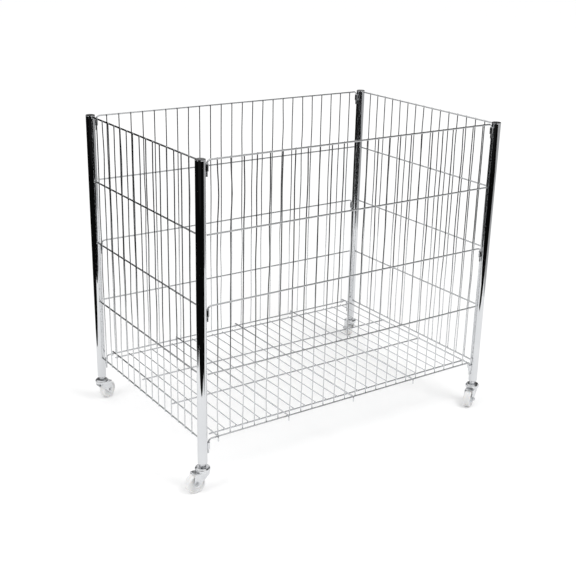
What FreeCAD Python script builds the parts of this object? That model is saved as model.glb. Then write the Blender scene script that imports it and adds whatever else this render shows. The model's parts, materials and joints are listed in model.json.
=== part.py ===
import FreeCAD, Part
import math
import os
import re
import Sketcher
from FreeCAD import Placement, Rotation, Vector

# Retail dump bin: four capped tube posts on swivel casters, two wire end meshes welded to the
# posts, two long wire panels hooked into sleeves on the posts, and a loose wire base grid that
# hangs over the bottom wires of the long panels.
#
# Frame: millimetres, +Z up, X along the long sides, the front long side at -Y.  The origin is
# on the floor, in the middle of the four posts.

doc = FreeCAD.newDocument("DumpBin")

# ---------------------------------------------------------------- driving dimensions

SIZES = {
    # posts
    "postSpacingX": 920.0,      # between post axes along the long sides
    "postSpacingY": 598.0,      # between post axes along the ends
    "postRadius": 12.5,
    "postWall": 1.2,
    "topWireGap": 0.25,         # from the highest wire up to the end of the tube
    # caps on the posts
    "capHeadHeight": 2.0,
    "capRounding": 1.2,
    "capSpigotLength": 14.0,
    "spigotClearance": 0.05,    # between a cap or insert and the tube around it
    # threaded inserts at the foot of the posts
    "insertLength": 26.0,
    "insertCollarStep": 0.8,    # how much narrower the collar is than the tube's bore
    "insertCollarHeight": 3.0,
    # wires
    "rimWireRadius": 2.25,      # horizontal wires, and the heavy wires of the base
    "uprightRadius": 1.5,       # upright wires, and the thin wires of the base
    "weldSink": 0.4,            # how far two crossing wires melt into each other
    "lowWireHeight": 60.5,      # lowest wire above the end of the tube
    "wireRise": 176.25,         # from one horizontal wire to the next
    "longUprightPairs": 12,     # upright wires either side of the middle of a long panel
    "longUprightMargin": 46.0,  # post axis to the first upright wire of a long panel
    "endUprightCount": 15,
    "endUprightMargin": 47.0,   # post axis to the first upright wire of an end
    "uprightOverhang": 1.8,     # upright ends past the axes of the outer wires
    # hooks and sleeves that carry the long panels
    "sleeveRadius": 4.5,
    "sleeveWall": 1.7,
    "sleeveHeight": 18.0,
    "sleeveSink": 0.25,         # how far the weld brings the sleeve into the post's round
    "hookBend": 11.0,           # radius of the bend, on the axis of the wire
    "hookTail": 28.0,           # straight end of the hook
    "hookSeatGap": 0.3,         # from the bend's inner side down to the sleeve's edge
    "freeEndGap": 4.0,          # from the ends of the wires without hooks to the posts
    # base grid
    "gridEdgeGap": 5.25,        # between the last uprights of the long panels and the edge wires
    "gridSlide": 4.0,           # how far the loose grid has slid to the right, less than that gap
    "gridBayCount": 4,          # bays between the heavy wires
    "gridBayWires": 5,          # thin wires in a bay
    "gridFrontGap": 22.0,       # from the front panel's plane to the front cross wire
    "gridFrontBay": 195.5,      # from the front cross wire to the next one
    "gridRearGap": 31.0,        # from the rear cross wire to the rear panel's plane
    "gridCrossCount": 3,        # cross wires behind the front one
    "gridStub": 10.0,           # cross wire ends past the edge wires
    "gridThinOverhang": 2.0,    # thin wire ends past the outer cross wires
    "gridHookReach": 8.5,       # from a panel's plane out to the hook
    "gridHookBend": 4.0,
    "gridHookTail": 10.0,
    "gridSeatGap": 0.05,        # between the heavy wires and the wires that carry them
    # casters
    "wheelRadius": 25.0,
    "wheelWidth": 20.0,
    "wheelTrail": 22.0,         # swivel axis to axle
    "wheelHubWall": 4.45,       # around the bore
    "wheelRimThickness": 5.0,
    "wheelDishDepth": 3.0,      # how far the web lies below the rim and the hub
    "treadRounding": 3.0,
    "wheelSideGap": 1.0,        # between the wheel and each fork leg
    "bushWall": 1.5,
    "axleRadius": 3.0,
    "axleHeadRadius": 5.5,
    "axleHeadHeight": 3.0,
    "axleNutRadius": 5.8,
    "axleNutHeight": 4.5,
    "axleEnd": 1.5,             # bolt end past its nut
    "runningClearance": 0.05,   # radial, at the swivel and at the axle
    "forkPlate": 2.0,           # sheet thickness of the fork
    "forkRearReach": 28.5,      # swivel axis to the rear edge of the crown
    "forkFrontReach": 13.0,     # swivel axis to the front edge of the crown
    "forkBossRadius": 8.0,      # rounded ends of the legs
    "forkShoulder": 7.3,        # height of the front edge, from which the legs lean back
    "forkWheelGap": 2.0,        # between the wheel and the crown
    "forkCornerRadius": 2.5,
    "ballRadius": 2.5,
    "ballCircleRadius": 13.2,
    "ballSpacing": 0.4,         # between neighbouring balls, at least
    "ballClearance": 0.05,      # between the balls and each race
    "ballSideRoom": 1.7,        # from the balls to the skirt of the upper race
    "lowerRaceHeight": 4.0,
    "raceSideGap": 0.8,         # between the lower race and the skirt
    "raceWall": 2.2,
    "raceSkirtGap": 0.6,        # from the skirt's edge down to the crown
    "raceShoulder": 3.5,        # bevel of the upper race
    "stemRadius": 5.0,
    "stemThread": 22.0,         # length inside the insert
    "stemHeadRadius": 7.5,
    "stemHeadHeight": 2.6,
    "lockNutRadius": 8.6,
    "lockNutHeight": 7.7,
    # swivel angles of the casters as parked, from +X towards +Y to the trailing side
    "swivelFrontLeft": 180.0,
    "swivelFrontRight": 207.0,
    "swivelRearLeft": 25.0,
    "swivelRearRight": 65.0,
}

sheet = doc.addObject("Spreadsheet::Sheet", "dims")
for row, (alias, value) in enumerate(SIZES.items(), start=1):
    sheet.set("A%d" % row, alias)
    sheet.set("B%d" % row, str(value))
    sheet.setAlias("B%d" % row, alias)
doc.recompute()


def linked(text):
    """An expression on the sheet, from one written with bare aliases."""
    return re.sub(r"[A-Za-z]+", lambda word: "dims." + word[0] if word[0] in SIZES else word[0], text)


def evaluate(text):
    """The present value of an expression on the sheet."""
    return float(sheet.evalExpression(text))


def bind(thing, **sizes):
    """Bind properties to expressions; a double underscore stands for a dot."""
    for name, text in sizes.items():
        thing.setExpression(name.replace("__", "."), linked(text))
    return thing


def place(thing, x="0", y="0", z="0", turn=None):
    """Bind a thing's place, and its turn about +Z."""
    if turn:
        thing.Placement = Placement(Vector(), Rotation(Vector(0, 0, 1), 1.0))
        bind(thing, Placement__Rotation__Angle=turn)
    return bind(thing, Placement__Base__x=x, Placement__Base__y=y, Placement__Base__z=z)


parts = []


def keep(thing, node):
    """Give a finished sub-part its node's name."""
    thing.Label = node
    parts.append(thing)
    return thing


# ---------------------------------------------------------------- lengths used more than once

FORK_INNER = "(wheelWidth / 2 + wheelSideGap)"
FORK_OUTER = "(%s + forkPlate)" % FORK_INNER
CROWN_Z = "(2 * wheelRadius + forkWheelGap)"
FORK_TOP_Z = "(%s + forkPlate)" % CROWN_Z
LOWER_RACE_Z = "(%s + lowerRaceHeight)" % FORK_TOP_Z
UPPER_RACE_Z = "(%s + 2 * ballRadius + 2 * ballClearance)" % LOWER_RACE_Z
RACE_TOP_Z = "(%s + raceWall)" % UPPER_RACE_Z
SKIRT_BORE = "(ballCircleRadius + ballRadius + ballSideRoom)"
SWIVEL_BORE = "(stemRadius + runningClearance)"
AXLE_BORE = "(axleRadius + runningClearance)"
BUSH_RADIUS = "(%s + bushWall)" % AXLE_BORE
COLLAR_Z = "(%s + lockNutHeight)" % RACE_TOP_Z
TUBE_FOOT_Z = "(%s + insertCollarHeight)" % COLLAR_Z

TUBE_BORE = "(postRadius - postWall)"
TUBE_LENGTH = "(lowWireHeight + 4 * wireRise + rimWireRadius + topWireGap)"
TUBE_TOP_Z = "(%s + %s)" % (TUBE_FOOT_Z, TUBE_LENGTH)
LOW_WIRE_Z = "(%s + lowWireHeight)" % TUBE_FOOT_Z
UPRIGHT_OFFSET = "(rimWireRadius + uprightRadius - weldSink)"
UPRIGHT_LENGTH = "(4 * wireRise + 2 * uprightOverhang)"
LONG_PITCH = "((postSpacingX / 2 - longUprightMargin) / (longUprightPairs - 0.5))"
END_PITCH = "((postSpacingY - 2 * endUprightMargin) / (endUprightCount - 1))"

SLEEVE_BORE = "(sleeveRadius - sleeveWall)"
SLEEVE_OFFSET = "(postRadius + sleeveRadius - sleeveSink)"
PIN_X = "(postSpacingX / 2 - %s)" % SLEEVE_OFFSET
HOOK_DROP = "(hookBend + hookTail)"
# The bend's inner side, seen square on, is an arc that stands over the sleeve's inner edge.
BEND_RISE = "sqrt((hookBend - rimWireRadius) ^ 2 - (hookBend - %s) ^ 2)" % SLEEVE_BORE
SLEEVE_DROP = "(hookBend - %s + hookSeatGap)" % BEND_RISE

GRID_EDGE_X = "(postSpacingX / 2 - longUprightMargin + uprightRadius + rimWireRadius + gridEdgeGap)"
GRID_BAY = "(2 * %s / gridBayCount)" % GRID_EDGE_X
GRID_PIN_Y = "(postSpacingY / 2 + gridHookReach)"
GRID_FRONT_Y = "(gridFrontGap - postSpacingY / 2)"
GRID_REAR_Y = "(postSpacingY / 2 - gridRearGap)"

# ---------------------------------------------------------------- Part Design helpers


def new_body(name):
    body = doc.addObject("PartDesign::Body", name)
    body.AllowCompound = True
    return body


def origin_item(body, role):
    return [item for item in body.Origin.OriginFeatures if item.Role == role][0]


def new_sketch(body, role, x="0", y="0", z="0"):
    """A sketch on one of the body's own origin planes, shifted along that plane's own axes."""
    sketch = body.newObject("Sketcher::SketchObject", "Sketch")
    sketch.AttachmentSupport = [(origin_item(body, role), "")]
    sketch.MapMode = "FlatFace"
    return bind(sketch, AttachmentOffset__Base__x=x, AttachmentOffset__Base__y=y, AttachmentOffset__Base__z=z)


def fix_point(sketch, index, point, x, y):
    """Hold a point of the sketch at a place given by two expressions."""
    for kind, axis, text in (("DistanceX", -2, x), ("DistanceY", -1, y)):
        if text == "0":
            sketch.addConstraint(Sketcher.Constraint("PointOnObject", index, point, axis))
        else:
            number = sketch.addConstraint(Sketcher.Constraint(kind, -1, 1, index, point, evaluate(text)))
            sketch.setExpression("Constraints[%d]" % number, linked(text))


def fix_radius(sketch, index, radius):
    number = sketch.addConstraint(Sketcher.Constraint("Radius", index, evaluate(radius)))
    sketch.setExpression("Constraints[%d]" % number, linked(radius))


def add_circle(sketch, radius, x="0", y="0"):
    centre = Vector(evaluate(x), evaluate(y), 0)
    index = sketch.addGeometry(Part.Circle(centre, Vector(0, 0, 1), evaluate(radius)), False)
    fix_point(sketch, index, 3, x, y)
    fix_radius(sketch, index, radius)


def add_outline(sketch, corners):
    """A closed outline of straight edges through corners given as pairs of expressions."""
    spots = [Vector(evaluate(x), evaluate(y), 0) for x, y in corners]
    edges = [sketch.addGeometry(Part.LineSegment(a, b), False) for a, b in zip(spots, spots[1:] + spots[:1])]
    for edge, after in zip(edges, edges[1:] + edges[:1]):
        sketch.addConstraint(Sketcher.Constraint("Coincident", edge, 2, after, 1))
    for edge, (x, y) in zip(edges, corners):
        fix_point(sketch, edge, 1, x, y)


def add_hexagon(sketch, radius, x="0", y="0"):
    turns = [60 * side + 30 for side in range(6)]
    add_outline(sketch, [("%s + %s * cos(%d)" % (x, radius, turn), "%s + %s * sin(%d)" % (y, radius, turn))
                         for turn in turns])


def pad(body, sketch, length, symmetric=False, backwards=False):
    feature = body.newObject("PartDesign::Pad", "Pad")
    feature.Profile = sketch
    feature.SideType = "Symmetric" if symmetric else "One side"
    feature.Reversed = backwards
    return bind(feature, Length=length)


def cut_through(body, sketch):
    """A pocket through everything, both ways from the sketch."""
    feature = body.newObject("PartDesign::Pocket", "Pocket")
    feature.Profile = sketch
    feature.SideType = "Symmetric"
    feature.Type = "ThroughAll"
    return feature


def spin(body, sketch):
    """A full revolution about the sketch's own upright axis."""
    feature = body.newObject("PartDesign::Revolution", "Revolution")
    feature.Profile = sketch
    feature.ReferenceAxis = (sketch, ["V_Axis"])
    feature.Angle = 360.0
    return feature


def round_off(body, feature, radius, wanted):
    """A fillet on the edges of a feature whose bounding box is as wanted."""
    fillet = body.newObject("PartDesign::Fillet", "Fillet")
    fillet.Base = (feature, ["Edge%d" % (number + 1) for number, edge in enumerate(feature.Shape.Edges)
                             if wanted(edge.BoundBox)])
    return bind(fillet, Radius=radius)


def repeat(body, feature, role, pitch, count):
    """A row of copies of a feature along one of the body's origin axes."""
    row_of = body.newObject("PartDesign::LinearPattern", "LinearPattern")
    row_of.Originals = [feature]
    row_of.Direction = (origin_item(body, role), [""])
    row_of.Mode = "Spacing"
    bind(row_of, Offset=pitch, Occurrences=count)
    body.Tip = row_of
    return row_of


def bend_arc(x, y, radius, start):
    """A quarter turn, anticlockwise from its start angle."""
    return Part.ArcOfCircle(Part.Circle(Vector(x, y, 0), Vector(0, 0, 1), radius), start, start + math.pi / 2)


def hooked_wire(body, role, pin, bend, drop, normal="0"):
    """A wire whose two ends bend down; pin is the distance from the middle to either tip's axis.

    The straight run lies at the body's own level zero, in the plane named by role or at a
    distance from it along its normal.
    """
    path = new_sketch(body, role, z=normal)
    reach, low, turn = evaluate(pin), evaluate(drop), evaluate(bend)
    left = path.addGeometry(Part.LineSegment(Vector(-reach, -low, 0), Vector(-reach, -turn, 0)), False)
    left_bend = path.addGeometry(bend_arc(turn - reach, -turn, turn, math.pi / 2), False)
    run = path.addGeometry(Part.LineSegment(Vector(turn - reach, 0, 0), Vector(reach - turn, 0, 0)), False)
    right_bend = path.addGeometry(bend_arc(reach - turn, -turn, turn, 0.0), False)
    right = path.addGeometry(Part.LineSegment(Vector(reach, -turn, 0), Vector(reach, -low, 0)), False)
    fix_point(path, left, 1, "-" + pin, "-" + drop)
    fix_point(path, left, 2, "-" + pin, "-" + bend)
    fix_point(path, run, 1, "%s - %s" % (bend, pin), "0")
    fix_point(path, run, 2, "%s - %s" % (pin, bend), "0")
    fix_point(path, right, 1, pin, "-" + bend)
    fix_point(path, right, 2, pin, "-" + drop)
    for arc, start, end in ((left_bend, (run, 1), (left, 2)), (right_bend, (right, 1), (run, 2))):
        path.addConstraint(Sketcher.Constraint("Coincident", arc, 1, *start))
        path.addConstraint(Sketcher.Constraint("Coincident", arc, 2, *end))
        fix_radius(path, arc, bend)
    foot_x, foot_y = ("-" + pin, "0") if role == "XZ_Plane" else (normal, "-" + pin)
    section = new_sketch(body, "XY_Plane", x=foot_x, y=foot_y, z="-" + drop)
    add_circle(section, "rimWireRadius")
    doc.recompute()
    pipe = body.newObject("PartDesign::AdditivePipe", "Pipe")
    pipe.Profile = section
    pipe.Spine = (path, ["Edge%d" % (number + 1) for number in range(5)])
    return pipe


# ---------------------------------------------------------------- wire panels


def long_panel(node, y, turn):
    """A long side: five horizontal wires, three of them hooked, with uprights on their inner side."""
    body = new_body(node)
    hooked = hooked_wire(body, "XZ_Plane", PIN_X, "hookBend", HOOK_DROP)
    repeat(body, hooked, "Z_Axis", "2 * wireRise", "3")
    section = new_sketch(body, "YZ_Plane")
    add_circle(section, "rimWireRadius", y="wireRise")
    free = pad(body, section, "postSpacingX - 2 * (postRadius + freeEndGap)", symmetric=True)
    repeat(body, free, "Z_Axis", "2 * wireRise", "2")
    section = new_sketch(body, "XY_Plane", z="-uprightOverhang")
    add_circle(section, "uprightRadius", x="longUprightMargin - postSpacingX / 2", y=UPRIGHT_OFFSET)
    upright = pad(body, section, UPRIGHT_LENGTH)
    repeat(body, upright, "X_Axis", LONG_PITCH, "2 * longUprightPairs")
    return keep(place(body, y=y, z=LOW_WIRE_Z, turn=turn), node)


def end_mesh(node, x, turn):
    """An end: five horizontal wires from post to post, with uprights on their outer side."""
    body = new_body(node)
    section = new_sketch(body, "XZ_Plane")
    add_circle(section, "rimWireRadius")
    wire = pad(body, section, "postSpacingY", symmetric=True)
    repeat(body, wire, "Z_Axis", "wireRise", "5")
    saddles = new_sketch(body, "XY_Plane")
    add_circle(saddles, "postRadius", y="postSpacingY / 2")
    add_circle(saddles, "postRadius", y="-postSpacingY / 2")
    cut_through(body, saddles)
    section = new_sketch(body, "XY_Plane", z="-uprightOverhang")
    add_circle(section, "uprightRadius", x="-" + UPRIGHT_OFFSET, y="endUprightMargin - postSpacingY / 2")
    upright = pad(body, section, UPRIGHT_LENGTH)
    repeat(body, upright, "Y_Axis", END_PITCH, "endUprightCount")
    return keep(place(body, x=x, z=LOW_WIRE_Z, turn=turn), node)


def base_grid(node):
    """The loose base: heavy wires hooked over both panels, cross wires under them, thin wires between."""
    body = new_body(node)
    grid_drop = "(gridHookBend + gridHookTail)"
    heavy = hooked_wire(body, "YZ_Plane", GRID_PIN_Y, "gridHookBend", grid_drop, "-" + GRID_EDGE_X)
    repeat(body, heavy, "X_Axis", GRID_BAY, "gridBayCount + 1")

    cross_z = "-(2 * rimWireRadius - weldSink)"
    cross_length = "2 * (%s + gridStub)" % GRID_EDGE_X
    second_y = "(%s + gridFrontBay)" % GRID_FRONT_Y
    section = new_sketch(body, "YZ_Plane")
    add_circle(section, "rimWireRadius", x=GRID_FRONT_Y, y=cross_z)
    pad(body, section, cross_length, symmetric=True)
    section = new_sketch(body, "YZ_Plane")
    add_circle(section, "rimWireRadius", x=second_y, y=cross_z)
    cross = pad(body, section, cross_length, symmetric=True)
    cross_pitch = "(%s - %s) / (gridCrossCount - 1)" % (GRID_REAR_Y, second_y)
    repeat(body, cross, "Y_Axis", cross_pitch, "gridCrossCount")

    thin_length = "%s - %s + 2 * gridThinOverhang" % (GRID_REAR_Y, GRID_FRONT_Y)
    thin_z = "uprightRadius - rimWireRadius"
    thin_pitch = "(%s / (gridBayWires + 1))" % GRID_BAY
    for bay in range(int(evaluate("gridBayCount"))):
        start = "(%d * %s - %s)" % (bay, GRID_BAY, GRID_EDGE_X)
        section = new_sketch(body, "XZ_Plane", z="gridThinOverhang - %s" % GRID_FRONT_Y)
        add_circle(section, "uprightRadius", x="%s + %s" % (start, thin_pitch), y=thin_z)
        thin = pad(body, section, thin_length, backwards=True)
        repeat(body, thin, "X_Axis", thin_pitch, "gridBayWires")
    return keep(place(body, x="gridSlide", z="%s + 2 * rimWireRadius + gridSeatGap" % LOW_WIRE_Z), node)


long_panel("front_panel", "-postSpacingY / 2", None)
long_panel("rear_panel", "postSpacingY / 2", "180")
end_mesh("end_mesh_left", "-postSpacingX / 2", None)
end_mesh("end_mesh_right", "postSpacingX / 2", "180")
base_grid("base_grid")

# ---------------------------------------------------------------- posts and what is fixed to them


def turned(node, profile, x, y):
    """A round piece about its post's axis, from half its outline: pairs of radius and height."""
    body = new_body(node)
    sketch = new_sketch(body, "XZ_Plane")
    add_outline(sketch, profile)
    spin(body, sketch)
    return keep(place(body, x=x, y=y), node)


def post(node, x, y):
    body = new_body(node)
    section = new_sketch(body, "XY_Plane")
    add_circle(section, "postRadius")
    add_circle(section, TUBE_BORE)
    pad(body, section, TUBE_LENGTH)
    return keep(place(body, x=x, y=y, z=TUBE_FOOT_Z), node)


def post_cap(node, x, y):
    """A push-in cap: a head that covers the tube's end, and a spigot inside it."""
    spigot = "%s - spigotClearance" % TUBE_BORE
    body = new_body(node)
    sketch = new_sketch(body, "XZ_Plane")
    add_outline(sketch, [("0", "-capSpigotLength"), (spigot, "-capSpigotLength"), (spigot, "0"),
                         ("postRadius", "0"), ("postRadius", "capHeadHeight"), ("0", "capHeadHeight")])
    blank = spin(body, sketch)
    doc.recompute()
    top = evaluate("capHeadHeight")
    round_off(body, blank, "capRounding", lambda box: box.ZMin > top - 0.01 and box.XLength > 0.01)
    return keep(place(body, x=x, y=y, z=TUBE_TOP_Z), node)


def foot_insert(node, x, y):
    """The threaded insert at the foot of a post, with a collar below the tube."""
    plug = "%s - spigotClearance" % TUBE_BORE
    collar = "%s - insertCollarStep" % TUBE_BORE
    top = "%s + insertLength" % TUBE_FOOT_Z
    profile = [(SWIVEL_BORE, COLLAR_Z), (collar, COLLAR_Z), (collar, TUBE_FOOT_Z), (plug, TUBE_FOOT_Z),
               (plug, top), (SWIVEL_BORE, top)]
    return turned(node, profile, x, y)


def solid(kind, **sizes):
    return bind(doc.addObject("Part::" + kind, kind), **sizes)


def hook_sleeves(node, x, y, side):
    """The sleeves of one post: short upright tubes welded to its face that looks along the panel."""
    sleeve_x = "%s + %d * %s" % (x, -side, SLEEVE_OFFSET)
    sleeves = []
    for level in range(3):
        z = "%s + %d * wireRise - %s - sleeveHeight" % (LOW_WIRE_Z, 2 * level, SLEEVE_DROP)
        outer = place(solid("Cylinder", Radius="sleeveRadius", Height="sleeveHeight"), sleeve_x, y, z)
        bore = place(solid("Cylinder", Radius=SLEEVE_BORE, Height="sleeveHeight"), sleeve_x, y, z)
        tube = place(solid("Cylinder", Radius="postRadius", Height="sleeveHeight"), x, y, z)
        away = doc.addObject("Part::MultiFuse", "Away")
        away.Shapes = [bore, tube]
        sleeve = doc.addObject("Part::Cut", "Sleeve")
        sleeve.Base, sleeve.Tool = outer, away
        sleeves.append(sleeve)
    group = doc.addObject("Part::Compound", node)
    group.Links = sleeves
    return keep(group, node)


# ---------------------------------------------------------------- casters: what stays with the post


def caster_stem(node, x, y):
    """The swivel bolt: thread in the insert, plain shank through the races, head under the crown."""
    head_top = "%s - runningClearance" % CROWN_Z
    head_foot = "%s - stemHeadHeight" % head_top
    top = "%s + stemThread" % COLLAR_Z
    profile = [("0", head_foot), ("stemHeadRadius", head_foot), ("stemHeadRadius", head_top),
               ("stemRadius", head_top), ("stemRadius", top), ("0", top)]
    return turned(node, profile, x, y)


def lock_nut(node, x, y):
    body = new_body(node)
    section = new_sketch(body, "XY_Plane", z=RACE_TOP_Z)
    add_hexagon(section, "lockNutRadius")
    add_circle(section, SWIVEL_BORE)
    pad(body, section, "lockNutHeight")
    return keep(place(body, x=x, y=y), node)


def upper_race(node, x, y):
    """The pressed cup that covers the balls; its wall keeps its thickness round the bevel."""
    outer = "(%s + raceWall)" % SKIRT_BORE
    mitre = "raceWall * (sqrt(2) - 1)"
    skirt_z = "%s + raceSkirtGap" % FORK_TOP_Z
    profile = [(SWIVEL_BORE, RACE_TOP_Z), (outer + " - raceShoulder", RACE_TOP_Z),
               (outer, RACE_TOP_Z + " - raceShoulder"), (outer, skirt_z), (SKIRT_BORE, skirt_z),
               (SKIRT_BORE, "%s - raceShoulder - %s" % (RACE_TOP_Z, mitre)),
               ("%s - raceShoulder - %s" % (outer, mitre), UPPER_RACE_Z), (SWIVEL_BORE, UPPER_RACE_Z)]
    return turned(node, profile, x, y)


# ---------------------------------------------------------------- casters: what swivels and rolls


def race_balls(node, x, y):
    """As many balls as the circle holds."""
    half_step = math.asin((evaluate("ballRadius + ballSpacing / 2")) / evaluate("ballCircleRadius"))
    count = int(math.pi / half_step)
    balls = []
    for number in range(count):
        turn = "%d * 360 / %d" % (number, count)
        ball = solid("Sphere", Radius="ballRadius")
        ball_x = "%s + ballCircleRadius * cos(%s)" % (x, turn)
        ball_y = "%s + ballCircleRadius * sin(%s)" % (y, turn)
        place(ball, ball_x, ball_y, "%s + ballRadius + ballClearance" % LOWER_RACE_Z)
        balls.append(ball)
    group = doc.addObject("Part::Compound", node)
    group.Links = balls
    return keep(group, node)


def fork(node, x, y, turn):
    """A pressed channel with two legs that lean back to the axle, and the lower race on its crown."""
    rise = "(%s - forkShoulder - wheelRadius)" % FORK_TOP_Z
    run = "(wheelTrail + forkFrontReach)"
    lean = "(atan(%s / %s) + asin(forkBossRadius / sqrt(%s ^ 2 + %s ^ 2)))" % (rise, run, rise, run)
    foot_x = "wheelTrail - forkBossRadius * sin(%s)" % lean
    foot_z = "wheelRadius - forkBossRadius * cos(%s)" % lean
    body = new_body(node)
    side = new_sketch(body, "XZ_Plane")
    add_outline(side, [("-forkFrontReach", FORK_TOP_Z), ("forkRearReach", FORK_TOP_Z),
                       ("wheelTrail + forkBossRadius", "wheelRadius"), (foot_x, foot_z),
                       ("-forkFrontReach", "%s - forkShoulder" % FORK_TOP_Z)])
    pad(body, side, "2 * " + FORK_OUTER, symmetric=True)
    boss = new_sketch(body, "XZ_Plane")
    add_circle(boss, "forkBossRadius", x="wheelTrail", y="wheelRadius")
    block = pad(body, boss, "2 * " + FORK_OUTER, symmetric=True)
    doc.recompute()
    top = evaluate(FORK_TOP_Z)
    round_off(body, block, "forkCornerRadius", lambda box: box.ZMin > top - 0.01 and box.YLength < 0.01)
    channel = new_sketch(body, "YZ_Plane")
    add_outline(channel, [("-" + FORK_INNER, "0"), (FORK_INNER, "0"), (FORK_INNER, CROWN_Z),
                          ("-" + FORK_INNER, CROWN_Z)])
    cut_through(body, channel)
    race = new_sketch(body, "XY_Plane", z=FORK_TOP_Z)
    add_circle(race, "%s - raceSideGap" % SKIRT_BORE)
    pad(body, race, "lowerRaceHeight")
    bore = new_sketch(body, "XY_Plane")
    add_circle(bore, SWIVEL_BORE)
    cut_through(body, bore)
    axle_hole = new_sketch(body, "XZ_Plane")
    add_circle(axle_hole, AXLE_BORE, x="wheelTrail", y="wheelRadius")
    cut_through(body, axle_hole)
    return keep(place(body, x=x, y=y, turn=turn), node)


def turned_on_axle(body, profile):
    """A round piece about the axle, from half its outline: pairs of radius and place along the axle."""
    sketch = new_sketch(body, "XY_Plane", x="wheelTrail", z="wheelRadius")
    add_outline(sketch, profile)
    return spin(body, sketch)


def wheel(node, x, y, turn):
    """A moulded wheel: a rim, a web sunk between rim and hub, and the bore for the bush."""
    bore = "(%s + runningClearance)" % BUSH_RADIUS
    hub = "%s + wheelHubWall" % bore
    rim = "wheelRadius - wheelRimThickness"
    face = "wheelWidth / 2"
    web = "(%s - wheelDishDepth)" % face
    half = [(bore, face), (hub, face), (hub, web), (rim, web), (rim, face), ("wheelRadius", face)]
    body = new_body(node)
    blank = turned_on_axle(body, half + [(radius, "-" + width) for radius, width in reversed(half)])
    doc.recompute()
    tread = 2 * evaluate("wheelRadius")
    round_off(body, blank, "treadRounding",
              lambda box: box.YLength < 0.01 and abs(box.ZLength - tread) < 0.01)
    return keep(place(body, x=x, y=y, turn=turn), node)


def wheel_bush(node, x, y, turn):
    body = new_body(node)
    section = new_sketch(body, "XZ_Plane")
    add_circle(section, BUSH_RADIUS, x="wheelTrail", y="wheelRadius")
    add_circle(section, AXLE_BORE, x="wheelTrail", y="wheelRadius")
    pad(body, section, "2 * " + FORK_INNER, symmetric=True)
    return keep(place(body, x=x, y=y, turn=turn), node)


def axle_bolt(node, x, y, turn):
    head = "-(%s + axleHeadHeight)" % FORK_OUTER
    tip = "%s + axleNutHeight + axleEnd" % FORK_OUTER
    body = new_body(node)
    turned_on_axle(body, [("0", head), ("axleHeadRadius", head), ("axleHeadRadius", "-" + FORK_OUTER),
                          ("axleRadius", "-" + FORK_OUTER), ("axleRadius", tip), ("0", tip)])
    return keep(place(body, x=x, y=y, turn=turn), node)


def axle_nut(node, x, y, turn):
    body = new_body(node)
    section = new_sketch(body, "XZ_Plane", z="-" + FORK_OUTER)
    add_hexagon(section, "axleNutRadius", x="wheelTrail", y="wheelRadius")
    add_circle(section, AXLE_BORE, x="wheelTrail", y="wheelRadius")
    pad(body, section, "axleNutHeight", backwards=True)
    return keep(place(body, x=x, y=y, turn=turn), node)


# ---------------------------------------------------------------- the four corners

CORNERS = {
    "front_left": (-1, -1, "swivelFrontLeft"),
    "front_right": (1, -1, "swivelFrontRight"),
    "rear_left": (-1, 1, "swivelRearLeft"),
    "rear_right": (1, 1, "swivelRearRight"),
}

for corner, (along, across, swivel) in CORNERS.items():
    corner_x = "%d * postSpacingX / 2" % along
    corner_y = "%d * postSpacingY / 2" % across
    hook_sleeves("hook_sleeves_" + corner, corner_x, corner_y, along)
    for make in (post, post_cap, foot_insert, caster_stem, lock_nut, upper_race, race_balls):
        make("%s_%s" % (make.__name__, corner), corner_x, corner_y)
    for make in (fork, wheel, wheel_bush, axle_bolt, axle_nut):
        make("%s_%s" % (make.__name__, corner), corner_x, corner_y, swivel)

# ---------------------------------------------------------------- check and write

doc.recompute()
failed = [item.Label for item in doc.Objects if "Invalid" in item.State or "Error" in item.State]
failed += [item.Label for item in parts if item.Shape.isNull() or not item.Shape.isValid()]
if failed:
    raise RuntimeError("these did not build: " + ", ".join(failed))

os.makedirs("parts", exist_ok=True)
for item in parts:
    item.Shape.exportStep(os.path.join("parts", item.Label + ".step"))
    print("%-28s solids %2d  volume %10.1f mm3" % (item.Label, len(item.Shape.Solids), item.Shape.Volume))
print(len(parts), "sub-parts written")
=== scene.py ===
import bmesh
import bpy
import json
import math
import random
from mathutils import Matrix, Vector


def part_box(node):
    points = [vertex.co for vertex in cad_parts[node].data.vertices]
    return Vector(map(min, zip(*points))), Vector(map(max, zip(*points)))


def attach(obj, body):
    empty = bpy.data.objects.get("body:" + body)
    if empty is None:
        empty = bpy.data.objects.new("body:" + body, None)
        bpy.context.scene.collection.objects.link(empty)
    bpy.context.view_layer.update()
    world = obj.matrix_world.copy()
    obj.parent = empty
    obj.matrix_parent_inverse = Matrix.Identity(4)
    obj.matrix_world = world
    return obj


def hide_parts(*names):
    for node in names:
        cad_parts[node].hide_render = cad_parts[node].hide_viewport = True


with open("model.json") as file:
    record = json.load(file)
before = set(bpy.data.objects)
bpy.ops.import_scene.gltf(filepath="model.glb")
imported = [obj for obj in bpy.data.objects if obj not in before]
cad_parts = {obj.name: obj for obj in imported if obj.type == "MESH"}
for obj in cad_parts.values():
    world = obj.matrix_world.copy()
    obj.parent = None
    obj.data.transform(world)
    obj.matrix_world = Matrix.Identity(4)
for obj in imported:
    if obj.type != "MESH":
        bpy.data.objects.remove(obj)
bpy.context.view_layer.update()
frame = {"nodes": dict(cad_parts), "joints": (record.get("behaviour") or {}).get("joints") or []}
print("frame loaded,", len(frame["nodes"]), "nodes")

corners = ("front_left", "front_right", "rear_left", "rear_right")
joints = {joint["name"]: joint for joint in frame["joints"]}
up = Vector((0, 0, 1))
smoothUpTo = math.radians(40)      # sharper edges than this stay sharp


# selecting and modes

def deselectAll():
    if bpy.context.mode != "OBJECT":
        bpy.ops.object.mode_set(mode="OBJECT")
    bpy.ops.object.select_all(action="DESELECT")


def workOn(piece):
    deselectAll()
    piece.select_set(True)
    bpy.context.view_layer.objects.active = piece


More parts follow.
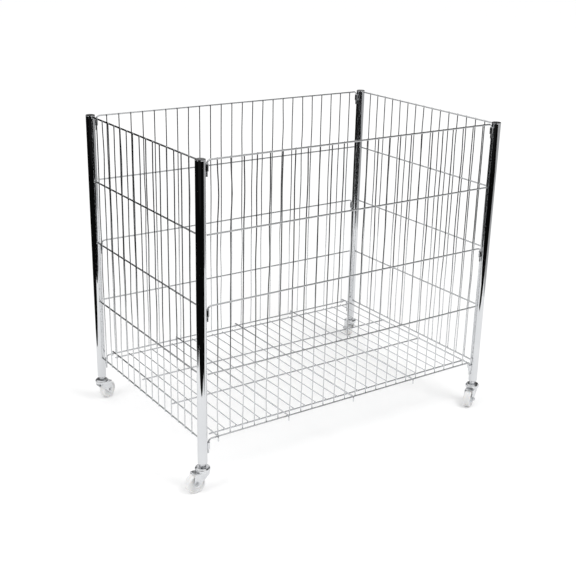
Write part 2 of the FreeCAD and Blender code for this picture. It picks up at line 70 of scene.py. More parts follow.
def openMesh():
    bpy.ops.object.mode_set(mode="EDIT")
    bpy.ops.mesh.select_mode(type="VERT")


def edit(piece):
    workOn(piece)
    openMesh()


def pick(kind, wanted):
    # kind is verts, edges or faces
    bpy.ops.mesh.select_mode(type=kind[:-1].upper())
    bpy.ops.mesh.select_all(action="DESELECT")
    shape = bmesh.from_edit_mesh(bpy.context.edit_object.data)
    for item in getattr(shape, kind):
        if wanted(item):
            item.select_set(True)
    shape.select_flush_mode()


def pickedCentre():
    piece = bpy.context.edit_object
    shape = bmesh.from_edit_mesh(piece.data)
    spots = [piece.matrix_world @ vert.co for vert in shape.verts if vert.select]
    return sum(spots, Vector()) / len(spots)


def turnOutwards():
    bpy.ops.mesh.select_all(action="SELECT")
    bpy.ops.mesh.normals_make_consistent(inside=False)


def settle(piece):
    # the place goes into the mesh
    workOn(piece)
    bpy.ops.object.transform_apply(location=True, rotation=True, scale=True)
    return piece


def finishWith(piece, kind, **settings):
    # one modifier, applied at once
    workOn(piece)
    modifier = piece.modifiers.new(kind.title(), kind)
    for name, value in settings.items():
        setattr(modifier, name, value)
    bpy.ops.object.modifier_apply(modifier=modifier.name)
    return piece


def softenEdges(piece, width, segments=2, angle=35):
    return finishWith(piece, "BEVEL", width=width, segments=segments, limit_method="ANGLE",
                      angle_limit=math.radians(angle), use_clamp_overlap=True)


def rowOf(piece, step, count):
    return finishWith(piece, "ARRAY", use_relative_offset=False, use_constant_offset=True,
                      constant_offset_displace=step, count=count)


def addRings(piece, heights):
    # edge rings round an upright piece, so that soft shading doesn't reach along its straight run
    edit(piece)
    for height in heights:
        bpy.ops.mesh.select_all(action="SELECT")
        bpy.ops.mesh.bisect(plane_co=(0, 0, height), plane_no=(0, 0, 1))
    deselectAll()


def carve(piece, tool, operation):
    finishWith(piece, "BOOLEAN", object=tool, operation=operation, solver="EXACT")
    bpy.data.objects.remove(tool)
    return piece


def copyTo(piece, place, turn=0.0):
    # a copy with its own mesh, turned about the upright axis
    workOn(piece)
    bpy.ops.object.duplicate(linked=False)
    copy = bpy.context.active_object
    copy.location = place
    copy.rotation_euler = (0, 0, turn)
    return settle(copy)


def join(pieces):
    deselectAll()
    for piece in pieces:
        piece.select_set(True)
    bpy.context.view_layer.objects.active = pieces[0]
    bpy.ops.object.join()
    return pieces[0]


def scatter(piece, places):
    copies = [copyTo(piece, place) for place in places]
    bpy.data.objects.remove(piece)
    return join(copies)


def handOver(piece, name, material, body, slot, *nodes):
    # name, shading, finish and the body it rides on
    workOn(piece)
    piece.name = piece.data.name = name
    bpy.ops.object.shade_smooth_by_angle(angle=smoothUpTo)
    piece.data.materials.clear()
    piece.data.materials.append(material)
    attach(piece, body)
    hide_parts(*nodes)


# finishes

class Signal:
    # a socket of a material; sums written with it add Math nodes
    def __init__(self, tree, socket):
        self.tree = tree
        self.socket = socket

    def math(self, operation, first, second):
        node = self.tree.nodes.new("ShaderNodeMath")
        node.operation = operation
        for spot, value in zip(node.inputs, (first, second)):
            if isinstance(value, Signal):
                self.tree.links.new(value.socket, spot)
            else:
                spot.default_value = value
        return Signal(self.tree, node.outputs[0])

    def __add__(self, other):
        return self.math("ADD", self, other)

    def __sub__(self, other):
        return self.math("SUBTRACT", self, other)

    def __rsub__(self, other):
        return self.math("SUBTRACT", other, self)

    def __mul__(self, other):
        return self.math("MULTIPLY", self, other)

    __radd__ = __add__
    __rmul__ = __mul__

    def atLeast(self, other):
        return self.math("MAXIMUM", self, other)


noiseSpan = (0.3, 0.7)             # a noise seldom leaves this range


class Finish:
    # a material, or the world, while it is mixed
    def __init__(self, owner):
        owner.use_nodes = True
        self.owner = owner
        self.tree = owner.node_tree

    def add(self, kind, settings=None, inputs=None, output=0):
        # settings come first, then the values and links of the inputs
        node = self.tree.nodes.new(kind)
        for name, value in (settings or {}).items():
            setattr(node, name, value)
        for name, value in (inputs or {}).items():
            if isinstance(value, Signal):
                self.tree.links.new(value.socket, node.inputs[name])
            else:
                node.inputs[name].default_value = value
        return Signal(self.tree, node.outputs[output])

    def feed(self, name, signal, node="Principled BSDF"):
        self.tree.links.new(signal.socket, self.tree.nodes[node].inputs[name])

    def noise(self, scale, detail):
        place = self.add("ShaderNodeTexCoord", output="Object")
        return self.add("ShaderNodeTexNoise", {}, {"Vector": place, "Scale": scale, "Detail": detail})

    def blend(self, share, first, second):
        # two colours, each written out or a signal; the Mix node has its colours at 6 and 7
        one, other = [tone if isinstance(tone, Signal) else (*tone, 1) for tone in (first, second)]
        return self.add("ShaderNodeMix", {"data_type": "RGBA"}, {"Factor": share, 6: one, 7: other}, 2)

    def bring(self, signal, source, target=(0, 1)):
        # a signal brought from one range to another
        ranges = zip(("From Min", "From Max", "To Min", "To Max"), (*source, *target))
        return self.add("ShaderNodeMapRange", {}, {"Value": signal, **dict(ranges)})

    def bump(self, height, strength, depth):
        inputs = {"Height": height, "Strength": strength, "Distance": depth}
        self.feed("Normal", self.add("ShaderNodeBump", {}, inputs))


def newFinish(name, **constants):
    # constants set sockets of the shader; an underscore stands for a space
    finish = Finish(bpy.data.materials.new(name))
    shader = finish.tree.nodes["Principled BSDF"]
    for socket, value in constants.items():
        shader.inputs[socket.replace("_", " ")].default_value = value
    return finish


def makeClouded(name, values, tones, **constants):
    # clouds tint the surface, and a fine grain dents it; both haze it
    finish = newFinish(name, **constants)
    clouds = finish.noise(*values["clouds"])
    grain = finish.noise(*values["grain"])
    haze = clouds * values["cloudShare"] + grain * (1 - values["cloudShare"])
    finish.feed("Base Color", finish.blend(clouds, *tones))
    finish.feed("Roughness", finish.bring(haze, noiseSpan, values["polish"]))
    finish.bump(grain, *values["dents"])
    return finish.owner


# in each finish, a noise is its scale and detail, polish the roughness from best to haziest,
# and dents the strength and depth of a bump

chromeValues = {
    "bright": ((0.70, 0.71, 0.72), (0.60, 0.61, 0.63)),  # posts, sleeves and base: clear and clouded patches
    "dull": ((0.62, 0.63, 0.64), (0.52, 0.53, 0.54)),    # the four sides' wires: a darker copy of the chrome, painted shade that makes the thin wires read darker
    "polish": (0.03, 0.07),
    "clouds": (9.0, 3.0),
    "cloudShare": 0.6,
    "grain": (320.0, 2.0),         # fine unevenness left by drawing the wire
    "dents": (0.25, 0.000008),
}

zincValues = {
    "tones": ((0.74, 0.75, 0.76), (0.62, 0.63, 0.65)),
    "polish": (0.20, 0.34),
    "clouds": (70.0, 3.0),
    "cloudShare": 0.5,
    "grain": (900.0, 2.0),
    "dents": (0.3, 0.00003),
}

nylonValues = {
    "tones": ((0.88, 0.88, 0.88), (0.83, 0.83, 0.83)),   # clean and milky
    "polish": (0.22, 0.42),
    "clouds": (55.0, 3.0),
    "cloudShare": 0.4,
    "grain": (1500.0, 2.0),
    "dents": (0.25, 0.00003),
    "glow": 0.35,                  # share of light that goes in and comes out again
    "glowReach": 0.006,
    "glowTint": (1.0, 0.9, 0.8),
    "refraction": 1.52,
}

steelValues = {
    "tones": ((0.72, 0.73, 0.75), (0.60, 0.60, 0.61)),
    "polish": (0.08, 0.2),
    "film": (160.0, 3.0),
}

capValues = {
    "tones": ((0.020, 0.020, 0.021), (0.040, 0.040, 0.042)),  # plain and scuffed
    "polish": (0.30, 0.46),
    "scuffs": (260.0, 4.0),
    "grain": (2600.0, 1.0),
    "dents": (0.35, 0.00004),
}


def makeNylon():
    values = nylonValues
    return makeClouded("wheelNylon", values, values["tones"], Subsurface_Weight=values["glow"],
                       Subsurface_Scale=values["glowReach"], Subsurface_Radius=values["glowTint"],
                       IOR=values["refraction"])


def makeBearingSteel():
    values = steelValues
    finish = newFinish("bearingSteel", Metallic=1.0)
    film = finish.noise(*values["film"])
    finish.feed("Base Color", finish.blend(film, *values["tones"]))
    finish.feed("Roughness", finish.bring(film, noiseSpan, values["polish"]))
    return finish.owner


def makeCapPlastic():
    values = capValues
    finish = newFinish("capPlastic", Specular_IOR_Level=0.5)
    scuffs = finish.noise(*values["scuffs"])
    grain = finish.noise(*values["grain"])
    finish.feed("Base Color", finish.blend(scuffs, *values["tones"]))
    finish.feed("Roughness", finish.bring(scuffs, noiseSpan, values["polish"]))
    finish.bump(grain, *values["dents"])
    return finish.owner


brightChrome = makeClouded("brightChrome", chromeValues, chromeValues["bright"], Metallic=1.0)
# a darker copy of the chrome for the four sides' wires, painted shade that makes them read darker
dullChrome = makeClouded("dullChrome", chromeValues, chromeValues["dull"], Metallic=1.0)
zinc = makeClouded("zincPlate", zincValues, zincValues["tones"], Metallic=1.0)
bearingSteel = makeBearingSteel()
capPlastic = makeCapPlastic()
nylon = makeNylon()
print("finishes mixed")


# wire, as it is drawn, bent and sheared

wire = {
    "rimRadius": 0.00225,
    "rimSides": 16,
    "thinRadius": 0.0015,
    "thinSides": 12,
    "endCut": 0.0004,              # the shears leave the ends a little rounded
    "endTaper": 0.72,
    "bendSteps": 8,
    "weldSink": 0.0004,            # how far two crossing wires melt into each other
}


def startWire(at, along, radius, sides):
    deselectAll()
    turn = up.rotation_difference(along).to_euler()
    bpy.ops.mesh.primitive_circle_add(vertices=sides, radius=radius, location=at, rotation=turn)
    openMesh()


def drawWire(step, steps=1):
    for _ in range(steps):
        bpy.ops.mesh.extrude_region_move(TRANSFORM_OT_translate={"value": step / steps})


def bendWire(centre, axis):
    # a quarter turn; spin turns against the right-hand rule
    bpy.ops.mesh.spin(steps=wire["bendSteps"], angle=-math.pi / 2, center=centre, axis=axis)


def shearEnd(along):
    # the picked ring goes on a little, narrows and is filled
    bpy.ops.mesh.extrude_region_move(TRANSFORM_OT_translate={"value": along * wire["endCut"]})
    bpy.ops.transform.resize(value=(wire["endTaper"],) * 3, center_override=pickedCentre())
    bpy.ops.mesh.edge_face_add()


def finishWire(startAlong, endAlong):
    shearEnd(endAlong)
    bpy.ops.mesh.select_all(action="DESELECT")
    bpy.ops.mesh.select_non_manifold(use_wire=False, use_multi_face=False, use_non_contiguous=False,
                                     use_verts=False)
    shearEnd(-startAlong)
    turnOutwards()
    return settle(bpy.context.active_object)


def straightWire(start, end, radius, sides, steps=1):
    along = (end - start).normalized()
    cut = along * wire["endCut"]
    startWire(start + cut, along, radius, sides)
    drawWire(end - start - 2 * cut, steps)
    return finishWire(along, along)


def rimWire(start, end):
    return straightWire(start, end, wire["rimRadius"], wire["rimSides"])


def thinWire(start, end, steps):
    return straightWire(start, end, wire["thinRadius"], wire["thinSides"], steps)


def hookedWire(first, second, bend, tail):
    # first and second: where the straight run, drawn through, would meet the two hooks
    along = (second - first).normalized()
    across = -along.cross(up)
    straight = up * (tail - wire["endCut"])
    startWire(first - up * (bend + tail - wire["endCut"]), up, wire["rimRadius"], wire["rimSides"])
    drawWire(straight)
    bendWire(first + (along - up) * bend, across)
    drawWire(second - first - 2 * bend * along)
    bendWire(second - (along + up) * bend, across)
    drawWire(-straight)
    return finishWire(up, -up)


nugget = {
    "segments": 8,
    "rings": 5,
    "alongRim": 0.0026,            # half lengths of the metal squeezed out of a crossing
    "alongThin": 0.0027,
    "thick": 0.0016,
    "flatFrom": 0.8,               # faces that lean out less than this are its poles...
    "flatTo": 0.8,                 # ...which are pressed to this share of their height
}


def makeNugget(rimAlong, thinAlong, place=(0, 0, 0)):
    # squeezed metal where two wires are welded
    values = nugget
    deselectAll()
    bpy.ops.mesh.primitive_uv_sphere_add(segments=values["segments"], ring_count=values["rings"], radius=1)
    piece = bpy.context.active_object
    openMesh()
    pick("faces", lambda face: abs(face.normal.z) > values["flatFrom"])
    bpy.ops.transform.resize(value=(1, 1, values["flatTo"]), center_override=(0, 0, 0))
    sizes = (values["alongRim"], values["alongThin"], values["thick"])
    turn = Matrix((rimAlong, thinAlong, rimAlong.cross(thinAlong))).transposed().to_4x4()
    piece.matrix_world = Matrix.Translation(place) @ turn @ Matrix.Diagonal((*sizes, 1))
    return settle(piece)


# the four sides

def postAxis(corner):
    low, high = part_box("post_" + corner)
    return (low + high) / 2


leftX, rightX = postAxis("front_left").x, postAxis("front_right").x
frontY, rearY = postAxis("front_left").y, postAxis("rear_left").y
postRadius = (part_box("post_front_left")[1].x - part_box("post_front_left")[0].x) / 2

grille = {                         # what all four sides have in common
    "bays": 4,
    "ringsPerBay": 6,              # edge rings of an upright, for its bow
    "bowBand": 0.1,                # share of half a bay that a bow moves outright
    "bowDepth": 0.0006,            # usual bow out of the plane of a side
    "overhang": 0.0018,            # uprights past the axes of the outer wires
}


def bowWires(piece, places, levels, along, amounts):
    # places are where the wires stand along their side, levels the heights of their bays' middles
    edit(piece)
    reach = abs(levels[1] - levels[0]) / 2
    for number, place in enumerate(places):
        for bay, level in enumerate(levels):
            pick("verts", lambda vert: abs(vert.co.z - level) < reach * grille["bowBand"]
                 and abs(vert.co[along] - place) < 2 * wire["thinRadius"])
            bpy.ops.transform.translate(value=amounts(number, bay), use_proportional_edit=True,
                                        use_proportional_connected=True,
                                        proportional_edit_falloff="SMOOTH", proportional_size=reach)
    deselectAll()


def makeUprights(values, along, plane, facing, bottom, top, amounts):
    # thin wires at even steps along a side, bowed and welded on; along is 0 where the side runs along X
    # and 1 along Y, plane is its place across that, and facing, 1 or -1, the way to the uprights
    def spot(place, across, height):
        return Vector((across, place, height) if along else (place, across, height))

    count, bays = values["uprights"], grille["bays"]
    first = (leftX, frontY)[along] + values["firstUpright"]
    pitch = -2 * first / (count - 1)
    rise = (top - bottom) / bays
    across = plane + facing * (wire["rimRadius"] + wire["thinRadius"] - wire["weldSink"])
    uprights = thinWire(spot(first, across, bottom - grille["overhang"]),
                        spot(first, across, top + grille["overhang"]), bays * grille["ringsPerBay"])
    rowOf(uprights, spot(pitch, 0, 0), count)
    places = [first + number * pitch for number in range(count)]
    levels = [bottom + (bay + 0.5) * rise for bay in range(bays)]
    bowWires(uprights, places, levels, along, amounts)

    weldAcross = plane + facing * (wire["rimRadius"] - wire["weldSink"] / 2)
    welds = makeNugget(spot(1, 0, 0), up, spot(first, weldAcross, bottom))
    rowOf(welds, spot(pitch, 0, 0), count)
    rowOf(welds, (0, 0, rise), bays + 1)
    return uprights, welds


longPanel = {
    "uprights": 24,
    "firstUpright": 0.046,         # from a post's axis
    "hookBend": 0.011,
    "hookTail": 0.028,
    "hookEvery": 2,                # wires from one with hooks to the next
    "freeEndGap": 0.004,           # from a post to the ends of the wires without hooks
    "bow": 0.0009,                 # usual bow of an upright between two wires
}

# uprights of the front panel that a hand has bent: wire, bay from the bottom, how far
bentByHand = {
    (0, 3): 0.0042,
    (1, 3): 0.0036,
    (2, 3): 0.0020,
    (5, 3): -0.0016,
    (6, 3): -0.0014,
}


def makeLongPanel(node, name, body, y, inwards, seed, bent):
    values = longPanel
    low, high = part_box(node)
    pinX = high.x - wire["rimRadius"]
    bottom = low.z + values["hookBend"] + values["hookTail"]
    top = high.z - wire["rimRadius"]
    rise = (top - bottom) / grille["bays"]
    step = (0, 0, values["hookEvery"] * rise)
    hooks = grille["bays"] // values["hookEvery"] + 1

    hooked = hookedWire(Vector((-pinX, y, bottom)), Vector((pinX, y, bottom)), values["hookBend"],
                        values["hookTail"])
    rowOf(hooked, step, hooks)
    endX = rightX - postRadius - values["freeEndGap"]
    free = rimWire(Vector((-endX, y, bottom + rise)), Vector((endX, y, bottom + rise)))
    rowOf(free, step, hooks - 1)
    chance = random.Random(seed)

    def amounts(number, bay):
        usual = chance.gauss(0, values["bow"])
        sideways = bent.get((number, bay), usual)
        return (sideways, chance.gauss(0, grille["bowDepth"]), 0)

    uprights, welds = makeUprights(values, 0, y, inwards, bottom, top, amounts)
    handOver(join([hooked, free, uprights, welds]), name, dullChrome, body, "chrome_plate", node)


makeLongPanel("front_panel", "frontPanelWires", "front_side", frontY, inwards=1, seed=11, bent=bentByHand)
makeLongPanel("rear_panel", "rearPanelWires", "rear_side", rearY, inwards=-1, seed=12, bent={})
print("long panels drawn")

endMesh = {
    "uprights": 15,
    "firstUpright": 0.047,
    "bow": 0.0008,
    "intoPost": 0.0006,            # the horizontal wires go this far into the posts
    "beadRadius": 0.0026,          # weld round a wire's end on a post
    "beadThick": 0.0011,
    "beadSegments": (16, 6),
    "beadRunOut": 0.85,            # how much it narrows where it runs out onto the wire
}


def makeEndBead(place, towards):
    # weld at a wire's end; towards is 1 where the wire leaves the post along +Y, and -1 along -Y
    values = endMesh
    around, through = values["beadSegments"]
    deselectAll()
    bpy.ops.mesh.primitive_torus_add(major_radius=values["beadRadius"], minor_radius=values["beadThick"],
                                     major_segments=around, minor_segments=through, location=place,
                                     rotation=(math.pi / 2, 0, 0))
    openMesh()
    pick("verts", lambda vert: -towards * vert.co.z > 0)
    bpy.ops.transform.resize(value=(values["beadRunOut"], 1, values["beadRunOut"]), center_override=place)
    return settle(bpy.context.active_object)


def makeEndMesh(node, name, x, outwards, seed):
    values = endMesh
    low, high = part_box(node)
    top = high.z - wire["rimRadius"]
    bottom = low.z + wire["rimRadius"]
    levels, step = grille["bays"] + 1, (0, 0, (top - bottom) / grille["bays"])
    frontEnd = frontY + postRadius - values["intoPost"]
    rearEnd = rearY - postRadius + values["intoPost"]
    rims = rowOf(rimWire(Vector((x, frontEnd, bottom)), Vector((x, rearEnd, bottom))), step, levels)
    chance = random.Random(seed)

    def amounts(number, bay):
        return (chance.gauss(0, grille["bowDepth"]), chance.gauss(0, values["bow"]), 0)

    uprights, welds = makeUprights(values, 1, x, outwards, bottom, top, amounts)
    beads = join([makeEndBead((x, frontY + postRadius, bottom), 1),
                  makeEndBead((x, rearY - postRadius, bottom), -1)])
    rowOf(beads, step, levels)
    handOver(join([rims, uprights, welds, beads]), name, dullChrome, "frame", "chrome_plate", node)


makeEndMesh("end_mesh_left", "leftEndWires", leftX, outwards=-1, seed=21)
makeEndMesh("end_mesh_right", "rightEndWires", rightX, outwards=1, seed=22)
print("end meshes drawn")

baseGrid = {
    "bays": 4,
    "bayWires": 5,
    "frontGap": 0.022,             # from the panel's plane to the front cross wire
    "frontBay": 0.1955,
    "rearGap": 0.031,
    "crossBehind": 3,
    "stub": 0.010,                 # cross wires past the edge wires
    "thinOverhang": 0.002,
    "thinSteps": 12,
    "hookReach": 0.0085,
    "hookBend": 0.004,
    "hookTail": 0.010,
    "sag": 0.0007,                 # usual sideways bow of a thin wire
    "sagBand": 0.03,               # this near the middle of a bay the wire moves outright
    "sagReach": 0.7,               # share of half a bay that moves with it
    "seed": 31,
}


def makeBaseGrid():
    values = baseGrid
    rim, thin, sink = wire["rimRadius"], wire["thinRadius"], wire["weldSink"]
    low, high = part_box("base_grid")
    heavyZ = high.z - rim
    crossZ = heavyZ - 2 * rim + sink
    thinZ = heavyZ - rim + thin
    bay = (high.x - low.x - 2 * values["stub"]) / values["bays"]
    lines = [low.x + values["stub"] + number * bay for number in range(values["bays"] + 1)]
    hookY = rearY + values["hookReach"]
    heavy = [hookedWire(Vector((x, -hookY, heavyZ)), Vector((x, hookY, heavyZ)), values["hookBend"],
                        values["hookTail"]) for x in lines]

    front, rear = frontY + values["frontGap"], rearY - values["rearGap"]
    second = front + values["frontBay"]
    step = (rear - second) / (values["crossBehind"] - 1)
    crossings = [front] + [second + number * step for number in range(values["crossBehind"])]
    cross = [rimWire(Vector((low.x, y, crossZ)), Vector((high.x, y, crossZ))) for y in crossings]

    chance = random.Random(values["seed"])
    thinPlaces = [start + (number + 1) * bay / (values["bayWires"] + 1)
                  for start in lines[:-1] for number in range(values["bayWires"])]
    thinWires = []
    for x in thinPlaces:
        piece = thinWire(Vector((x, front - values["thinOverhang"], thinZ)),
                         Vector((x, rear + values["thinOverhang"], thinZ)), values["thinSteps"])
        edit(piece)
        for near, far in zip(crossings, crossings[1:]):
            middle, reach = (near + far) / 2, (far - near) / 2
            pick("verts", lambda vert: abs(vert.co.y - middle) < values["sagBand"])
            bpy.ops.transform.translate(value=(chance.gauss(0, values["sag"]), 0, 0),
                                        use_proportional_edit=True, proportional_edit_falloff="SMOOTH",
                                        proportional_size=reach * values["sagReach"])
        thinWires.append(piece)
    weldZ = crossZ + rim - sink / 2
    welds = scatter(makeNugget(Vector((1, 0, 0)), Vector((0, 1, 0))),
                    [Vector((x, y, weldZ)) for x in lines + thinPlaces for y in crossings])
    handOver(join(heavy + cross + thinWires + [welds]), "baseWires", brightChrome, "base", "chrome_plate",
             "base_grid")


makeBaseGrid()
print("base grid drawn")


# pieces drawn from an outline of (across, height) points

outlines = {
    "speck": 0.001,                # the plane that is merged to the first point
    "turnSteps": 72,
    "mergeWithin": 0.000002,
    "emptyFace": 1e-12,
    "arcSteps": 4,
}


def quarterArc(across, height, radius, start, end):
    # a rounding's points in an outline: its centre, its radius and its two angles in degrees
    steps = outlines["arcSteps"]
    angles = [math.radians(start + (end - start) * number / steps) for number in range(steps + 1)]
    return [(across + radius * math.cos(angle), height + radius * math.sin(angle)) for angle in angles]


def drawOutline(points, y=0.0):
    # edges from point to point in an upright plane along X
    deselectAll()
    bpy.ops.mesh.primitive_plane_add(size=outlines["speck"], location=(points[0][0], y, points[0][1]))
    openMesh()
    bpy.ops.mesh.merge(type="CENTER")
    for here, there in zip(points, points[1:]):
        step = (there[0] - here[0], 0, there[1] - here[1])
        bpy.ops.mesh.extrude_region_move(TRANSFORM_OT_translate={"value": step})
    bpy.ops.mesh.select_all(action="SELECT")
    return bpy.context.active_object


def turnPiece(outline, steps=outlines["turnSteps"]):
    # turned about the upright axis through the world's origin; a point on the axis closes the piece there
    piece = drawOutline(outline + outline[:1])
    bpy.ops.mesh.spin(steps=steps, angle=2 * math.pi, center=(0, 0, 0), axis=(0, 0, 1))
    bpy.ops.mesh.select_all(action="SELECT")
    bpy.ops.mesh.remove_doubles(threshold=outlines["mergeWithin"])
    bpy.ops.mesh.delete_loose()
    pick("faces", lambda face: face.calc_area() < outlines["emptyFace"])
    bpy.ops.mesh.delete(type="FACE")
    turnOutwards()
    return settle(piece)


def slabAlongY(outline, halfWidth):
    # a flat shape drawn out along Y both ways
    piece = drawOutline(outline, -halfWidth)
    bpy.ops.mesh.edge_face_add()
    bpy.ops.mesh.extrude_region_move(TRANSFORM_OT_translate={"value": (0, 2 * halfWidth, 0)})
    turnOutwards()
    return settle(piece)


def layOnAxle(piece, place):
    # from the upright axis to the axle of a caster that trails along X
    piece.rotation_euler = (-math.pi / 2, 0, 0)
    piece.location = place
    return settle(piece)


def openTube(radius, height, middle, sides, x=0.0):
    # a bare upright shell; its wall comes later
    deselectAll()
    bpy.ops.mesh.primitive_cylinder_add(vertices=sides, radius=radius, depth=height, location=(x, 0, middle),
                                        end_fill_type="NOTHING")
    return settle(bpy.context.active_object)


hexNut = {
    "coneAngle": 30,               # of the turned chamfer, in degrees
    "coneFrom": 0.98,              # share of the flats' distance where it starts on the end faces
    "turnedTo": 1.02,              # share of the corners' distance that the turning leaves
    "steps": 64,
}


def nutAround(radius, bore, foot, head, chamfer):
    # a hexagon whose corners a turned cone has taken off, both ways
    values = hexNut
    flat = radius * math.cos(math.pi / 6)
    reach = radius * values["turnedTo"]
    start = flat * values["coneFrom"]
    rise = (reach - flat) * math.tan(math.radians(values["coneAngle"]))
    limits = turnPiece([(bore + chamfer, foot), (start, foot), (reach, foot + rise), (reach, head - rise),
                        (start, head), (bore + chamfer, head), (bore, head - chamfer),
                        (bore, foot + chamfer)], values["steps"])
    deselectAll()
    bpy.ops.mesh.primitive_cylinder_add(vertices=6, radius=radius, depth=head - foot,
                                        location=(0, 0, (head + foot) / 2))
    return carve(settle(bpy.context.active_object), limits, "INTERSECT")


# pieces of a post, modelled about the world's upright axis

postTube = {
    "sides": 96,
    "wall": 0.0012,
    "rimRound": 0.00035,
    "endRing": 0.002,              # from the ends to the first ring
}


def makePostTube():
    values = postTube
    low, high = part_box("post_front_left")
    tube = openTube(postRadius, high.z - low.z, (low.z + high.z) / 2, values["sides"])
    addRings(tube, (low.z + values["endRing"], high.z - values["endRing"]))
    finishWith(tube, "SOLIDIFY", thickness=values["wall"], offset=-1)
    return softenEdges(tube, values["rimRound"])


postCap = {
    "rounding": 0.0012,
    "crown": 0.00025,              # the top rises this much towards its middle...
    "crownAt": (0.6, 0.35),        # ...and at this share of its radius is this share of that lower
    "gateRadius": 0.0014,          # the little dimple that the mould's gate leaves
    "gateLip": 1.3,
    "gateDepth": 0.0002,
    "spigotClearance": 0.0001,
    "spigotLead": 0.0008,
}


def makePostCap():
    values = postCap
    low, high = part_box("post_cap_front_left")
    foot, seat = low.z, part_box("post_front_left")[1].z
    spigot = postRadius - postTube["wall"] - values["spigotClearance"]
    rounding, lead, gate = values["rounding"], values["spigotLead"], values["gateRadius"]
    inner = postRadius - rounding
    share, drop = values["crownAt"]
    outline = [(0, foot), (spigot - lead, foot), (spigot, foot + lead), (spigot, seat), (postRadius, seat),
               *quarterArc(inner, high.z - values["crown"] - rounding, rounding, 0, 90),
               (inner * share, high.z - values["crown"] * drop), (gate * values["gateLip"], high.z),
               (gate, high.z - values["gateDepth"]), (0, high.z - values["gateDepth"])]
    return turnPiece(outline)


sleeve = {
    "radius": 0.0045,
    "wall": 0.0017,
    "height": 0.018,
    "offset": 0.01675,             # from the post's axis
    "sides": 32,
    "rimRound": 0.0003,
    "endRing": 0.0012,
    "perPost": 3,
    "beadRadius": 0.0011,
    "beadSides": 10,
    "beadEnd": 0.6,                # share of its radius at its ends
    "beadWaist": 0.82,             # share of its radius between two ripples
    "beadLength": 0.0135,
    "beadRipples": 9,
    "beadAngle": 12.0,             # of the seam, seen from the post's axis
}


def makeBead(place):
    # a rippled seam of weld that fills the valley between a post and a sleeve
    values = sleeve
    step = up * values["beadLength"] / (2 * values["beadRipples"])
    startWire(place - up * values["beadLength"] / 2, up, values["beadRadius"] * values["beadEnd"],
              values["beadSides"])
    for _ in range(values["beadRipples"]):
        for swell in (1 / values["beadWaist"], values["beadWaist"]):
            drawWire(step)
            bpy.ops.transform.resize(value=(swell, swell, 1), center_override=pickedCentre())
    return finishWire(up, up)


def makeSleeves():
    values = sleeve
    low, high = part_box("hook_sleeves_front_left")
    middle = low.z + values["height"] / 2
    tube = openTube(values["radius"], values["height"], middle, values["sides"], values["offset"])
    reach = values["height"] / 2 - values["endRing"]
    addRings(tube, (middle - reach, middle + reach))
    finishWith(tube, "SOLIDIFY", thickness=values["wall"], offset=-1)
    softenEdges(tube, values["rimRound"])
    angle = math.radians(values["beadAngle"])
    across = Vector((math.cos(angle), math.sin(angle), 0)) * postRadius
    beads = [makeBead(Vector((across.x, side * across.y, middle))) for side in (-1, 1)]
    step = (high.z - low.z - values["height"]) / (values["perPost"] - 1)
    return rowOf(join([tube] + beads), (0, 0, step), values["perPost"])


footInsert = {
    "collarStep": 0.00125,         # how much narrower the collar is than the tube
    "collarRound": 0.0026,
    "bore": 0.00505,
    "plugClearance": 0.00005,
    "lead": 0.001,
}


def makeFootInsert():
    values = footInsert
    low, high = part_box("foot_insert_front_left")
    foot, seat = low.z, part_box("post_front_left")[0].z
    collar = postRadius - values["collarStep"]
    plug = postRadius - postTube["wall"] - values["plugClearance"]
    rounding, bore, lead = values["collarRound"], values["bore"], values["lead"]
    return turnPiece([(bore, foot), *quarterArc(collar - rounding, foot + rounding, rounding, -90, 0),
                      (collar, seat), (plug, seat), (plug, high.z - lead), (plug - lead, high.z),
                      (bore, high.z)])


lockNut = {
    "radius": 0.0086,
    "bore": 0.00505,
    "chamfer": 0.0005,
    "edge": 0.00025,
}


def makeLockNut():
    low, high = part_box("lock_nut_front_left")
    nut = nutAround(lockNut["radius"], lockNut["bore"], low.z, high.z, lockNut["chamfer"])
    return softenEdges(nut, lockNut["edge"])


upperRace = {
    "wall": 0.0022,
    "bore": 0.00505,
    "shoulder": 0.0035,
    "edge": 0.0009,
    "edgeSteps": 4,
    "edgeFrom": 25,                # edges that turn more degrees than this are rounded
}


def makeUpperRace():
    values = upperRace
    low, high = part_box("upper_race_front_left")
    outer = (high.x - low.x) / 2
    wall, shoulder, bore = values["wall"], values["shoulder"], values["bore"]
    inner = outer - wall
    mitre = wall * (math.sqrt(2) - 1)
    cup = turnPiece([(bore, high.z), (outer - shoulder, high.z), (outer, high.z - shoulder), (outer, low.z),
                     (inner, low.z), (inner, high.z - shoulder - mitre),
                     (outer - shoulder - mitre, high.z - wall), (bore, high.z - wall)])
    return softenEdges(cup, values["edge"], values["edgeSteps"], values["edgeFrom"])


# pieces of a caster that trails along X under the world's origin

rollJoint = joints["front_left_roll"]
swivelJoint = joints["front_left_swivel"]
trail = (Vector(rollJoint["pos_m"]) - Vector(swivelJoint["pos_m"])).to_2d().length
axle = Vector((trail, 0, rollJoint["pos_m"][2]))

fork = {
    "plate": 0.002,
    "halfWidth": 0.013,
    "rearReach": 0.0285,
    "frontReach": 0.013,
    "blankReach": 0.06,            # of the bent plate, before its sides are cut
    "boss": 0.008,
    "bossSteps": 12,
    "shoulder": 0.0073,            # from the crown down to where the front edge starts to lean
    "cornerRadius": 0.0025,
    "cornerSteps": 6,
    "raceRadius": 0.0166,
    "raceHeight": 0.004,
    "raceSink": 0.0002,            # how far the race is pressed into the crown
    "raceEdge": 0.0012,
    "raceEdgeSteps": 3,
    "swivelBore": 0.00505,
    "axleBore": 0.00305,
    "boreSides": 32,
    "edge": 0.0004,
    "margin": 0.001,               # for picking edges and for cutting clean through
}


